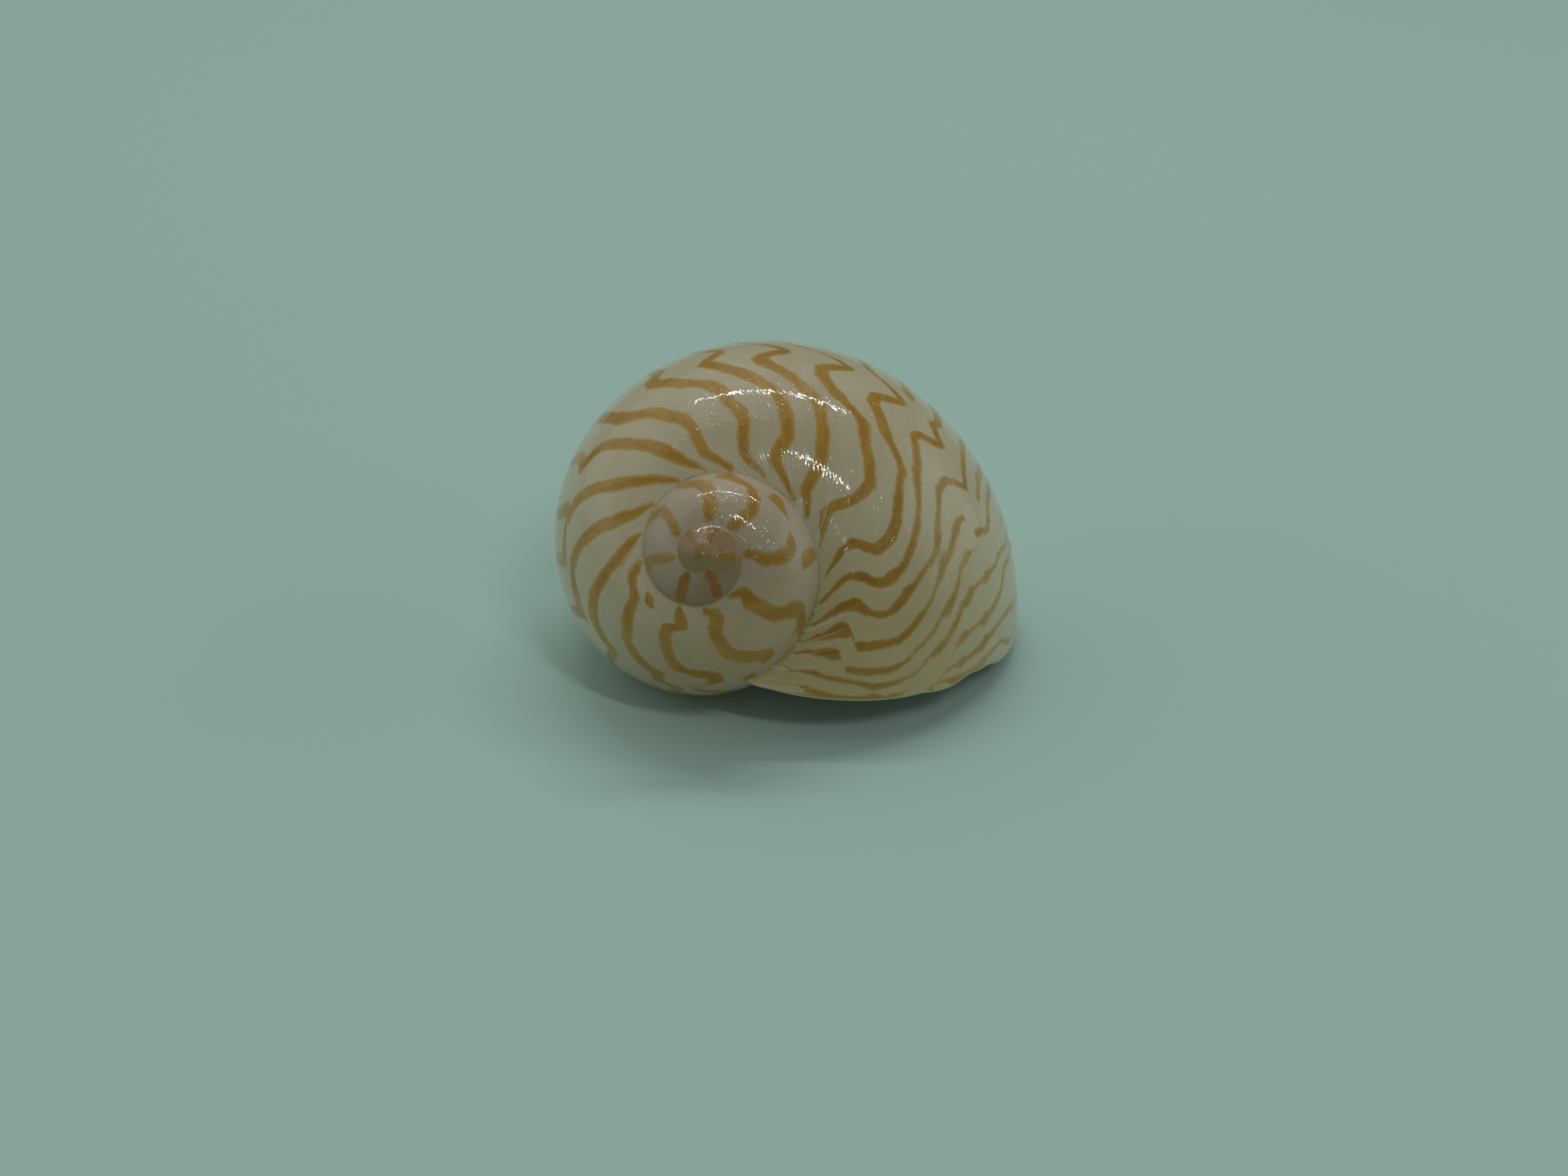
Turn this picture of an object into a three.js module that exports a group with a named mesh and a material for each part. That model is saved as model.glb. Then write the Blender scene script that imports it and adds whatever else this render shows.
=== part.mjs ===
// A moon snail's shell, coiled to the right, lying on the edge of its mouth with the spire to the front.
// Millimetres, +Z up. The origin is on the surface it rests on, under the middle of its box.
// The whole wall is one skin of rings and columns: a ring is the whorl's section, laid in the plane
// of the mouth and carried round the coiling axis, and each whorl is welded to the whorl before.
import * as THREE from "three";

// Growth of the spiral: one turn makes everything this many times larger
const TURN_GROWTH = 2.78;

// Section of the whorl at the mouth, beside the coiling axis and measured down from the apex
const AXIS_TO_CENTRE = 9.0;
const APEX_TO_CENTRE = 19.8;
const SECTION_RADIUS = 12.6;
const SECTION_OVAL = -0.125;
const SECTION_LEAN = -0.07;
const SECTION_SHOULDER = 0.042;
const SECTION_BASE = 0.033;
const SECTION_WAIST = -0.009;

// Umbilicus: a narrow cone round the axis, its radius for each millimetre below the apex
const UMBILICUS_SLOPE = 0.155;
const UMBILICUS_ROUNDING = 0.9;

// Places on the section, in degrees from straight outward, positive toward the apex
const SUTURE_ANGLE = 97.7;
const COVERED_FROM_ANGLE = 19.5;
const HOLLOW_FROM_ANGLE = 3;
const HOLLOW_TO_ANGLE = -90;
const COVERED_TO_ANGLE = -104;
const UMBILICUS_END_ANGLE = -206;

// Columns of facets between those places, in order
const UPPER_COLUMNS = 9;
const SUTURE_WALL_COLUMNS = 2;
const PARIETAL_COLUMNS = 10;
const BASE_WALL_COLUMNS = 1;
const UMBILICUS_COLUMNS = 8;

// Wall, thinner toward the lip, and where the hollow's own section starts and stops
const WALL = 0.95;
const LIP_WALL = 0.5;
const LIP_TAPER_TURNS = 0.08;
const INNER_START_ANGLE = 87;
const INNER_END_ANGLE = -196;

// The mouth lies in a plane: which way that faces about the axis, how far down, and its distance
const MOUTH_FACES_ANGLE = -68.8;
const MOUTH_FACES_DOWN = 26;
const MOUTH_DISTANCE = 9.5;
const EARLIEST_LIP_TURN = -0.4;
const LATEST_LIP_TURN = 0.15;

// Rings in a turn, in the whole coil and in its hollow part, and how many rings the mouth runs ahead
// at the suture and at the umbilicus of the columns that it is welded to
const TURN_RINGS = 39;
const ALL_RINGS = 117;
const HOLLOW_RINGS = 43;
const SUTURE_LEAD = 6;
const UMBILICUS_LEAD = 12;

// How the shell lies: the spire's rise above the surface, its turn to the left, and its roll
const SPIRE_RISE = 32.6;
const SPIRE_LEFT = 9.5;
const SHELL_ROLL = 333.6;

const radians = THREE.MathUtils.degToRad;

const coveredFrom = UPPER_COLUMNS;
const hollowFrom = coveredFrom + SUTURE_WALL_COLUMNS;
const hollowTo = hollowFrom + PARIETAL_COLUMNS;
const coveredTo = hollowTo + BASE_WALL_COLUMNS;
const lastColumn = coveredTo + UMBILICUS_COLUMNS;
const lastRing = ALL_RINGS;
const firstHollowRing = lastRing - HOLLOW_RINGS;

function spread(start, end, count) {
  return Array.from({ length: count }, (_, index) => THREE.MathUtils.lerp(start, end, index / count));
}

const columnAngles = [
  ...spread(SUTURE_ANGLE, COVERED_FROM_ANGLE, UPPER_COLUMNS),
  ...spread(COVERED_FROM_ANGLE, HOLLOW_FROM_ANGLE, SUTURE_WALL_COLUMNS),
  ...spread(HOLLOW_FROM_ANGLE, HOLLOW_TO_ANGLE, PARIETAL_COLUMNS),
  ...spread(HOLLOW_TO_ANGLE, COVERED_TO_ANGLE, BASE_WALL_COLUMNS),
  ...spread(COVERED_TO_ANGLE, UMBILICUS_END_ANGLE, UMBILICUS_COLUMNS),
  UMBILICUS_END_ANGLE,
].map(radians);

// Point of the full-size section at an angle: x from the axis, y up from the apex.
// A circle with a few smooth lobes, kept outside the umbilicus cone by a rounded maximum.
function sectionPoint(angle) {
  const lobes =
    SECTION_OVAL * Math.cos(2 * angle) +
    SECTION_LEAN * Math.sin(2 * angle) +
    SECTION_SHOULDER * Math.cos(3 * angle) +
    SECTION_BASE * Math.sin(3 * angle) +
    SECTION_WAIST * Math.sin(4 * angle);
  const radius = SECTION_RADIUS * (1 + lobes);
  const x = AXIS_TO_CENTRE + radius * Math.cos(angle);
  const y = radius * Math.sin(angle) - APEX_TO_CENTRE;
  const cone = UMBILICUS_SLOPE * Math.abs(y);
  return new THREE.Vector2(0.5 * (x + cone + Math.hypot(x - cone, UMBILICUS_ROUNDING)), y);
}

// The section moved inward by the wall, square to its own outline
function innerPoint(angle, wall) {
  const nearby = 0.01;
  const along = sectionPoint(angle + nearby).sub(sectionPoint(angle - nearby)).normalize();
  return sectionPoint(angle).add(new THREE.Vector2(-along.y, along.x).multiplyScalar(wall));
}

// Place in the coiling frame of a section point at a turn
function onSpiral(point, turn) {
  const size = TURN_GROWTH ** turn;
  const azimuth = -2 * Math.PI * turn;
  const reach = size * point.x;
  return new THREE.Vector3(reach * Math.cos(azimuth), reach * Math.sin(azimuth), size * point.y);
}

const mouthNormal = new THREE.Vector3(
  Math.cos(radians(MOUTH_FACES_DOWN)) * Math.cos(radians(MOUTH_FACES_ANGLE)),
  Math.cos(radians(MOUTH_FACES_DOWN)) * Math.sin(radians(MOUTH_FACES_ANGLE)),
  -Math.sin(radians(MOUTH_FACES_DOWN)),
);

// Turn at which a section point passes through the plane of the mouth, found by halving
function lipTurn(point) {
  let before = EARLIEST_LIP_TURN;
  let after = LATEST_LIP_TURN;
  for (let step = 0; step < 40; step++) {
    const middle = (before + after) / 2;
    if (onSpiral(point, middle).dot(mouthNormal) < MOUTH_DISTANCE) {
      before = middle;
    } else {
      after = middle;
    }
  }
  return (before + after) / 2;
}

const columnPoints = columnAngles.map(sectionPoint);
const columnLags = columnPoints.map(lipTurn);
columnLags[0] = columnLags[coveredFrom] + SUTURE_LEAD / TURN_RINGS;
columnLags[lastColumn] = columnLags[coveredTo] + UMBILICUS_LEAD / TURN_RINGS;

function ringTurn(ring) {
  return (ring - lastRing) / TURN_RINGS;
}

// Vertices by name, so that welded rings share them
const positions = [];
const vertexNumbers = new Map();

function vertex(name, place) {
  if (!vertexNumbers.has(name)) {
    vertexNumbers.set(name, positions.length / 3);
    positions.push(...place().toArray());
  }
  return vertexNumbers.get(name);
}

// Outer skin. Its first and last columns are those of the whorl before, once there is one.
function outer(ring, column) {
  if (column === 0 && ring >= TURN_RINGS - SUTURE_LEAD) {
    return outer(ring - TURN_RINGS + SUTURE_LEAD, coveredFrom);
  }
  if (column === lastColumn && ring >= TURN_RINGS - UMBILICUS_LEAD) {
    return outer(ring - TURN_RINGS + UMBILICUS_LEAD, coveredTo);
  }
  const place = () => onSpiral(columnPoints[column], ringTurn(ring) + columnLags[column]);
  return vertex(`outer ${ring} ${column}`, place);
}

function wallAt(turn) {
  return THREE.MathUtils.lerp(LIP_WALL, WALL, THREE.MathUtils.clamp(-turn / LIP_TAPER_TURNS, 0, 1));
}

// Inner skin. Its two edges lie on the whorl before, which closes the hollow.
function inner(ring, column) {
  if (column === 0) {
    return outer(ring - TURN_RINGS + SUTURE_LEAD, hollowFrom);
  }
  if (column === lastColumn) {
    return outer(ring - TURN_RINGS + UMBILICUS_LEAD, hollowTo);
  }
  const place = () => {
    const turn = ringTurn(ring);
    const share = (column - 1) / (lastColumn - 2);
    const angle = radians(THREE.MathUtils.lerp(INNER_START_ANGLE, INNER_END_ANGLE, share));
    const point = innerPoint(angle, wallAt(turn));
    return onSpiral(point, turn + lipTurn(point));
  };
  return vertex(`inner ${ring} ${column}`, place);
}

const faces = [];

function patch(corner, rings, columns) {
  for (let ring = rings[0]; ring < rings[1]; ring++) {
    for (let column = columns[0]; column < columns[1]; column++) {
      const low = corner(ring, column);
      const high = corner(ring + 1, column + 1);
      faces.push([low, high, corner(ring, column + 1)], [low, corner(ring + 1, column), high]);
    }
  }
}

// Outside of every whorl, and of the last one also what the mouth hasn't covered
function outsideFaces() {
  patch(outer, [0, lastRing], [0, coveredFrom]);
  patch(outer, [lastRing - TURN_RINGS + SUTURE_LEAD, lastRing], [coveredFrom, hollowFrom]);
  patch(outer, [lastRing - TURN_RINGS + UMBILICUS_LEAD, lastRing], [hollowTo, coveredTo]);
  patch(outer, [0, lastRing], [coveredTo, lastColumn]);
}

// Ring of the whorl before at which the hollow's deep end crosses a column, stepping between its two edges
function deepRing(column) {
  const share = (column - hollowFrom) / (hollowTo - hollowFrom);
  const lead = Math.round(THREE.MathUtils.lerp(SUTURE_LEAD, UMBILICUS_LEAD, share));
  return firstHollowRing - TURN_RINGS + lead;
}

// The whorl before, from the deep end of the hollow to the mouth and on round the outside
function parietalFaces() {
  for (let column = hollowFrom; column < hollowTo; column++) {
    const start = deepRing(column);
    const next = deepRing(column + 1);
    if (next > start) {
      faces.push([outer(start, column), outer(next, column), outer(next, column + 1)]);
    }
    patch(outer, [next, lastRing], [column, column + 1]);
  }
}

function hollowFaces() {
  const from = faces.length;
  patch(inner, [firstHollowRing, lastRing], [0, lastColumn]);
  faces.slice(from).forEach((face) => face.reverse());
}

// Flat end of the hollow, a fan about the section's centre
function deepFaces() {
  const edge = [];
  for (let column = 0; column <= lastColumn; column++) {
    edge.push(inner(firstHollowRing, column));
  }
  for (let column = hollowTo - 1; column > hollowFrom; column--) {
    edge.push(outer(deepRing(column), column));
  }
  const centre = new THREE.Vector2(AXIS_TO_CENTRE, -APEX_TO_CENTRE);
  const hub = vertex("deep centre", () => onSpiral(centre, ringTurn(firstHollowRing) + lipTurn(centre)));
  edge.forEach((corner, index) => faces.push([hub, edge[(index + 1) % edge.length], corner]));
}

// Edge of the mouth between the two skins, with its corner at the suture
function lipFaces() {
  for (let column = 0; column < lastColumn; column++) {
    const within = inner(lastRing, column);
    const without = outer(lastRing, column + 1);
    faces.push([within, without, outer(lastRing, column)]);
    faces.push([within, inner(lastRing, column + 1), without]);
  }
  const ring = lastRing - TURN_RINGS + SUTURE_LEAD;
  for (let column = coveredFrom + 1; column < hollowFrom; column++) {
    faces.push([outer(ring, coveredFrom), outer(ring, column), outer(ring, column + 1)]);
  }
}

// The first whorl closes on the axis above and below
function apexFaces() {
  const size = TURN_GROWTH ** ringTurn(0);
  const top = vertex("top", () => new THREE.Vector3(0, 0, size * columnPoints[0].y));
  const bottom = vertex("bottom", () => new THREE.Vector3(0, 0, size * columnPoints[coveredTo].y));
  for (let ring = 0; ring < TURN_RINGS - SUTURE_LEAD; ring++) {
    faces.push([top, outer(ring + 1, 0), outer(ring, 0)]);
  }
  for (let column = 0; column < coveredFrom; column++) {
    faces.push([top, outer(0, column), outer(0, column + 1)]);
  }
  for (let ring = 0; ring < TURN_RINGS - UMBILICUS_LEAD; ring++) {
    faces.push([bottom, outer(ring, lastColumn), outer(ring + 1, lastColumn)]);
  }
  for (let column = coveredTo; column < lastColumn; column++) {
    faces.push([bottom, outer(0, column), outer(0, column + 1)]);
  }
}

function shellGeometry() {
  outsideFaces();
  parietalFaces();
  hollowFaces();
  deepFaces();
  lipFaces();
  apexFaces();
  const geometry = new THREE.BufferGeometry();
  geometry.setAttribute("position", new THREE.Float32BufferAttribute(positions, 3));
  geometry.setIndex(faces.flat());
  geometry.computeVertexNormals();
  return geometry;
}

// The coiling frame turned so that the edge of the mouth rests on the surface
function restingFrame() {
  const left = radians(SPIRE_LEFT);
  const rise = radians(SPIRE_RISE);
  const side = new THREE.Vector3(Math.cos(left), -Math.sin(left), 0);
  const axis = new THREE.Vector3(-Math.sin(left), -Math.cos(left), Math.tan(rise)).normalize();
  const front = new THREE.Vector3().crossVectors(axis, side);
  const frame = new THREE.Matrix4().makeBasis(side, front, axis);
  return frame.multiply(new THREE.Matrix4().makeRotationZ(radians(SHELL_ROLL)));
}

const material = new THREE.MeshStandardMaterial({ color: 0xd9cfbb, roughness: 0.2, metalness: 0 });
const shell = new THREE.Mesh(shellGeometry(), material);
shell.name = "shell";
shell.setRotationFromMatrix(restingFrame());

const model = new THREE.Group();
model.add(shell);
model.updateMatrixWorld(true);
const box = new THREE.Box3().setFromObject(model, true);
const middle = box.getCenter(new THREE.Vector3());
model.position.set(-middle.x, -middle.y, -box.min.z);

export default model;
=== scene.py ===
import bpy
import numpy as np
from mathutils import Matrix, Vector


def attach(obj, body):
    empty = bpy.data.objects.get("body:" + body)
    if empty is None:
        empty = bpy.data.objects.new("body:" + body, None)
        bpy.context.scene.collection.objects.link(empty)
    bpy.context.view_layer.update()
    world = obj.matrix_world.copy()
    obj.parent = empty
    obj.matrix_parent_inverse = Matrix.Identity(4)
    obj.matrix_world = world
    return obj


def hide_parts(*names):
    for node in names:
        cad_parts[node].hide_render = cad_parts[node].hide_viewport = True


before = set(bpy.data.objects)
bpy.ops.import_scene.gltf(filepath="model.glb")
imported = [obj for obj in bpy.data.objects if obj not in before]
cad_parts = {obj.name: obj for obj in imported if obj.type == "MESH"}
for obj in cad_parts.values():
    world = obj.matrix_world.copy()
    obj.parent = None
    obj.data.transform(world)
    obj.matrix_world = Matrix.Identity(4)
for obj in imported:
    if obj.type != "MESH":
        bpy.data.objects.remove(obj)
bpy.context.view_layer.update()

# A moon snail's shell lying on the edge of its mouth, the spire to the front. Lengths here are in
# millimetres, and are turned to metres where a mesh is made.
MILLIMETRE = 0.001

# Growth of the spiral for each turn, and the whorl's section at the mouth: its centre beside the
# coiling axis and below the apex, its radius, and the smooth lobes that shape it
TURN_GROWTH = 2.78
AXIS_TO_CENTRE = 9.0
APEX_TO_CENTRE = 19.8
SECTION_RADIUS = 12.6
SECTION_OVAL = -0.125
SECTION_LEAN = -0.07
SECTION_SHOULDER = 0.042
SECTION_BASE = 0.033
SECTION_WAIST = -0.009
UMBILICUS_SLOPE = 0.155
UMBILICUS_ROUNDING = 0.9

# Places on the section, in degrees from straight outward, and the columns of facets between them. The
# next whorl covers the columns between COVERED_FROM and COVERED_TO, and those between HOLLOW_FROM and
# HOLLOW_TO show inside its hollow.
PLACES = [97.7, 19.5, 3.0, -55.0, -90.0, -104.0, -206.0]
COLUMNS = [48, 6, 30, 8, 6, 24]
COVERED_FROM, HOLLOW_FROM, _, HOLLOW_TO, COVERED_TO, LAST_COLUMN = np.cumsum(COLUMNS)

# Rings of facets in a turn, before the mouth, and in the hollow; how many rings the first and the last
# column run ahead of the columns that they are welded to; the rings near the apex that come too early
# to be welded; and the rows of facets round the lip's edge
TURN_RINGS = 208
LAST_RING = 666
HOLLOW_RINGS = 229
SUTURE_LEAD = 32
UMBILICUS_LEAD = 64
FREE_SUTURE_RINGS = TURN_RINGS - SUTURE_LEAD
FREE_UMBILICUS_RINGS = TURN_RINGS - UMBILICUS_LEAD
LIP_ROWS = 6

# Thickness of the wall and of the lip, the turns over which the one thins to the other, how far the lip
# is set back, how far its rounded edge stands out, and the columns over which that fades at its ends
WALL = 0.95
LIP_WALL = 0.5
LIP_TAPER_TURNS = 0.08
LIP_SETBACK_TURNS = 0.002
LIP_BULGE = 0.26
LIP_END_COLUMNS = 6

# Angles round the section that the free part of the hollow's skin runs between
INNER_START_ANGLE = 87.0
INNER_END_ANGLE = -196.0

# Edges bent more sharply than this many degrees stay sharp in the shading
SHARP_DEGREES = 38

# How far the first whorls are flattened, and between which turns that sets in
FLATTENING = 0.72
FLATTENED_TURNS = (-1.3, -2.3)

# The mouth lies in a plane: the way it faces about the axis, how far down, and its distance from the
# apex. Where the spiral meets it is found by halving the way between two turns.
MOUTH_FACES_ANGLE = -68.8
MOUTH_FACES_DOWN = 26.0
MOUTH_DISTANCE = 9.5
EARLIEST_LIP_TURN = -0.4
LATEST_LIP_TURN = 0.15
LIP_HALVINGS = 40

# Places where the lip lies a little behind that plane: degrees round the section, the degrees over
# which it fades, and turns
LIP_WAVES = [(40, 5, -0.0045), (30, 6, -0.004), (60, 4, -0.002)]

# How the shell lies
SPIRE_RISE = 32.6
SPIRE_LEFT = 9.5
SHELL_ROLL = 333.6

# Brown lines from the spire to the lip, each as the bends it goes through: degrees round the
# section, and thousandths of a turn from the mouth's reference. Short ones stop where their list does.
LONG, SHORT = "long", "short"
LINES = [
    (LONG, [(95, -2410), (60, -2420), (14, -2430)]),
    (LONG, [(95, -2245), (70, -2250), (40, -2262), (14, -2270)]),
    (LONG, [(95, -2070), (60, -2077), (40, -2080), (14, -2085)]),
    (LONG, [(95, -1912), (80, -1909), (60, -1905), (40, -1900), (20, -1905)]),
    (LONG, [(95, -1746), (80, -1753), (60, -1756), (40, -1762), (20, -1766)]),
    (LONG, [(95, -1607), (80, -1606), (60, -1606), (40, -1611), (20, -1630), (14, -1627)]),
    (LONG, [(95, -1480), (80, -1466), (65, -1456), (50, -1466), (40, -1481), (30, -1500), (20, -1519),
            (14, -1530)]),
    (LONG, [(95, -1312), (80, -1321), (70, -1326), (60, -1333), (50, -1350), (40, -1371), (30, -1390),
            (20, -1404)]),
    (LONG, [(95, -1212), (80, -1207), (70, -1207), (60, -1221), (50, -1236), (45, -1244), (41, -1262),
            (38, -1278), (34, -1291), (28, -1303), (20, -1311)]),
    (SHORT, [(44, -1168), (42, -1183), (40, -1189), (36, -1198), (30, -1203), (27, -1204)]),
    (LONG, [(96, -1095), (90, -1096), (86, -1086), (80, -1081), (70, -1085), (60, -1096), (50, -1116),
            (47, -1126), (45, -1082), (38, -1089), (28, -1096), (20, -1098)]),
    (LONG, [(97, -935), (94, -962), (90, -974), (84, -967), (78, -970), (60, -982), (50, -999),
            (42, -1006), (36, -1004), (30, -995), (22, -984), (14, -982)]),
    (LONG, [(97, -840), (94, -856), (92, -869), (88, -875), (84, -867), (78, -862), (70, -870), (60, -881),
            (50, -904), (45, -914), (40, -924), (31.5, -923), (29.5, -890), (25, -889), (12, -894)]),
    (LONG, [(96, -768), (90, -783), (86, -790), (82, -766), (77, -765), (70, -775), (60, -787), (53, -800),
            (48, -826), (42, -844), (37, -847), (32, -843), (29, -818), (24, -822), (16, -843)]),
    (SHORT, [(94, -686), (90, -700), (87, -708)]),
    (LONG, [(97, -605), (94, -622), (90, -639), (86, -674), (82, -684), (78, -688), (70, -702), (60, -717),
            (50, -742), (46, -754), (42, -768), (36, -773), (31, -775), (27, -791), (20, -794)]),
    (LONG, [(97, -540), (94, -560), (90, -576), (86, -595), (82, -607), (78, -616), (70, -632), (60, -648),
            (54, -661), (50, -670), (45, -687), (42, -700), (38, -711), (34, -713), (24, -712)]),
    (LONG, [(97, -470), (94, -496), (90, -515), (86, -527), (82, -539), (78, -547), (70, -562), (60, -580),
            (54, -594), (50, -602), (46, -622), (42, -637), (38, -653), (32, -651), (26, -648)]),
    (SHORT, [(46, -556), (42, -582), (38, -595), (30, -594), (24, -592)]),
    (LONG, [(97, -400), (94, -424), (90, -443), (86, -462), (82, -475), (78, -486), (70, -503), (60, -519),
            (50, -539), (47, -549), (43, -544), (30, -550), (22, -552)]),
    (LONG, [(97, -345), (94, -369), (90, -389), (86, -400), (82, -411), (78, -421), (70, -441), (60, -460),
            (54, -470), (50, -481), (45, -499), (39, -493), (30, -497), (22, -503), (15, -506)]),
    (LONG, [(97, -300), (94, -326), (90, -350), (86, -357), (82, -362), (78, -367), (74, -375), (70, -387),
            (60, -412), (54, -430), (50, -437), (42, -446), (30, -454), (22, -459), (16, -463)]),
    (LONG, [(97, -238), (94, -271), (92, -285), (90, -292), (86, -299), (78, -305), (74, -313), (70, -326),
            (64, -336), (57, -353), (54, -368), (50, -379), (44, -392), (40, -401), (34, -403), (28, -397),
            (23, -400), (14, -407)]),
    (LONG, [(97, -182), (95, -205), (93, -228), (90, -247), (86, -252), (80, -252), (76, -260), (70, -271),
            (64, -284), (60, -297), (57, -309), (50, -331), (46, -342), (40, -356), (36, -354), (30, -347),
            (26, -347), (22, -357), (18, -366), (14, -370)]),
    (LONG, [(97, -148), (95, -168), (92, -188), (88, -197), (82, -205), (78, -215), (70, -232), (62, -248),
            (58, -262), (54, -277), (50, -287), (45, -304), (40, -312), (36, -309), (30, -298), (27, -300),
            (23, -312), (20, -323), (16.5, -331), (13, -335)]),
    (LONG, [(97, -100), (95, -122), (93, -140), (90, -153), (86, -154), (82, -152), (78, -156), (74, -162),
            (70, -176), (66, -193), (62, -203), (58, -213), (55, -232), (50, -250), (44, -262), (39, -266),
            (34, -259), (29, -250), (25.5, -259), (22, -273), (19, -290), (15.5, -300), (11, -309)]),
    (LONG, [(97, -55), (95, -72), (93, -88), (90, -103), (87, -108), (84, -103), (81, -99), (78, -104),
            (75, -112), (72, -122), (68, -140), (64, -154), (60, -163), (57, -182), (54, -195), (50, -206),
            (45, -219), (40, -222), (36, -215), (30.5, -207), (28, -212), (24.5, -223), (21, -237),
            (17, -244), (12, -247)]),
    (SHORT, [(22, -207), (14, -215), (7, -221)]),
    (LONG, [(97, -22), (95, -40), (93, -55), (90, -69), (86, -72), (83, -67), (80, -67), (77, -75), (74, -82),
            (70, -96), (64, -121), (61, -134), (58, -147), (55, -157), (50, -168), (44, -182), (40, -182),
            (36, -174), (32, -169), (29, -178), (25.5, -185), (21, -184), (16, -187), (11, -191)]),
    (LONG, [(97, 8), (95, -9), (93, -22), (90, -36), (87, -42), (84, -38), (80, -38), (77, -44), (74, -55),
            (70, -70), (64, -87), (61, -95), (58, -108), (55, -122), (50, -139), (44, -146), (39, -144),
            (33, -138), (29, -147), (24.5, -154), (19, -160), (12, -166), (5.5, -169)]),
    (SHORT, [(29, -128), (24, -135), (18, -143), (11, -147), (5.5, -150)]),
    (LONG, [(97, 34), (95, 17), (92, 2), (90, -9), (86.5, -13), (84.5, -3), (81, -8), (78, -15), (75, -20),
            (72, -26), (69, -39), (66, -51), (63, -63), (60, -80), (58, -87), (55, -93), (50, -109),
            (45, -118), (41, -119), (38, -107), (33, -110), (29, -109), (25.5, -115), (21, -126),
            (14.5, -132), (8, -137)]),
    (LONG, [(97, 50), (95, 35), (92, 25), (90, 18), (86.5, 13), (84.5, 21), (80, 14), (77, 8), (74, 3),
            (71, -4), (68, -13), (66, -24), (64, -30), (61, -41), (59, -53), (57, -57), (55, -62), (53, -70),
            (50, -86), (45, -95), (41, -98), (33, -98), (24.5, -102), (18, -109), (9, -115)]),
    (LONG, [(95, 66), (93, 55), (90, 44), (87, 39), (84, 32), (81, 26), (78, 21), (75, 18), (72, 12), (69, 5),
            (66, -2), (63, -10), (61, -23), (58, -29), (55, -37), (53, -47), (50, -61), (46, -69), (42, -76),
            (38, -79), (33, -84), (28, -89), (24.5, -94), (19, -100)]),
    (LONG, [(95, 80), (92, 67), (88, 60), (84, 50), (80, 41), (76, 32), (73, 23), (70, 20), (67, 13), (64, 7),
            (61, -1), (58, -6), (55, -14), (52, -26), (50, -39), (44, -48), (39, -54), (33, -61), (25.5, -73),
            (20, -88), (12, -94)]),
    (LONG, [(92, 78), (88, 67), (80, 47), (70, 25), (64, 8), (58, -12), (50, -22), (44, -30), (39, -37),
            (33, -46), (28, -53), (17, -65), (10, -67)]),
    (LONG, [(92, 90), (84, 62), (76, 42), (66, 16), (60, -1), (55, -9), (50, -13), (45, -17), (39, -25),
            (33, -32), (28, -40), (22, -46)]),
]

# Breaks and thick dashes in the lines, by the line's number in the list: at which angle, over how
# many degrees each way, and how many millimetres are added to half its width
LINE_TOUCHES = {
    3: [(20, 12, -0.35)],
    4: [(20, 12, -0.25)],
    8: [(43, 5, -0.2)],
    10: [(46, 1.4, -0.9)],
    12: [(30.5, 1.6, -0.9)],
    13: [(30.5, 1.6, -0.4), (26, 4, -0.3)],
    23: [(21, 5, -0.2)],
    24: [(22, 6, -0.2)],
    25: [(20, 6.5, -0.24)],
    26: [(22, 6, -0.2)],
    29: [(88, 4, 0.2)],
    31: [(89, 4, 0.28), (85.5, 0.8, -0.9), (39.7, 1, -0.9)],
    32: [(88, 3, 0.18), (85.5, 0.8, -0.9), (26, 13, -0.8)],
    33: [(86, 3, -0.08)],
    34: [(57, 5, -0.5), (95, 4, -0.4)],
    35: [(61, 6, -0.5), (94, 5, -0.5)],
    36: [(94, 6, -0.6), (54, 8, 0.12)],
}

# Near the lip the lines narrow and then turn to rows of beads. Both set in between two turns and lie
# between a low and a high stretch of angles. Then how much narrower the lines get, how much half the
# width grows at a bead, the angle of one bead, the degrees to the next, how far a line's beads are
# shifted in radians and how that changes from line to line, and where a bead's swing is cut off below
NARROWING = ((-0.32, -0.1), (16, 26), (74, 62))
BEADING = ((-0.14, -0.09), (26, 34), (66, 60))
BEAD_GAP_SHARE = 0.38
BEAD_SWING = 0.22
BEAD_AT = 57.3
BEAD_DEGREES = 10.7
BEAD_SHIFT = 0.7
BEAD_SHIFT_STEP = 1.9
BEAD_CUT = 0.2

# Below the last bend of its list a long line goes on in this zigzag across the whorl's face and fades
# out above the base: degrees round the section, thousandths of a turn. It does so where the list ends
# below FACE_FROM, and keeps all of the sway far up the coil and less by the lip: thousandths, shares.
FACE_ZIGZAG = [(14, 0), (6, -14), (-2, -20), (-10, -18), (-17, -11), (-24, -24), (-30, -42), (-36, -62),
               (-41, -75), (-46, -66), (-51, -52), (-60, -50)]
FACE_FROM = 25
ZIGZAG_SHARES = ([-900, 0], [1, 0.6])

# Half the width of a line in millimetres along the coil, and its share of that round the section
LINE_HALF_WIDTHS = [(-2.4, 0.26), (-2.05, 0.31), (-1.92, 0.42), (-1.75, 0.38), (-1.6, 0.42), (-1.45, 0.43),
                    (-1.2, 0.47), (-1.0, 0.51), (-0.85, 0.49), (-0.72, 0.42), (-0.5, 0.46), (-0.2, 0.48),
                    (-0.13, 0.43), (-0.08, 0.34), (0.0, 0.27), (0.08, 0.2)]
LINE_WIDTH_SHARES = [(-54, -0.9), (-50, 0.2), (-45, 0.7), (12, 0.75), (22, 0.85), (32, 1.05), (38, 1.1),
                     (50, 1.0), (60, 0.94), (74, 0.92), (86, 0.9), (93, 0.62), (96, 0.3), (98, -0.2)]

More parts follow.
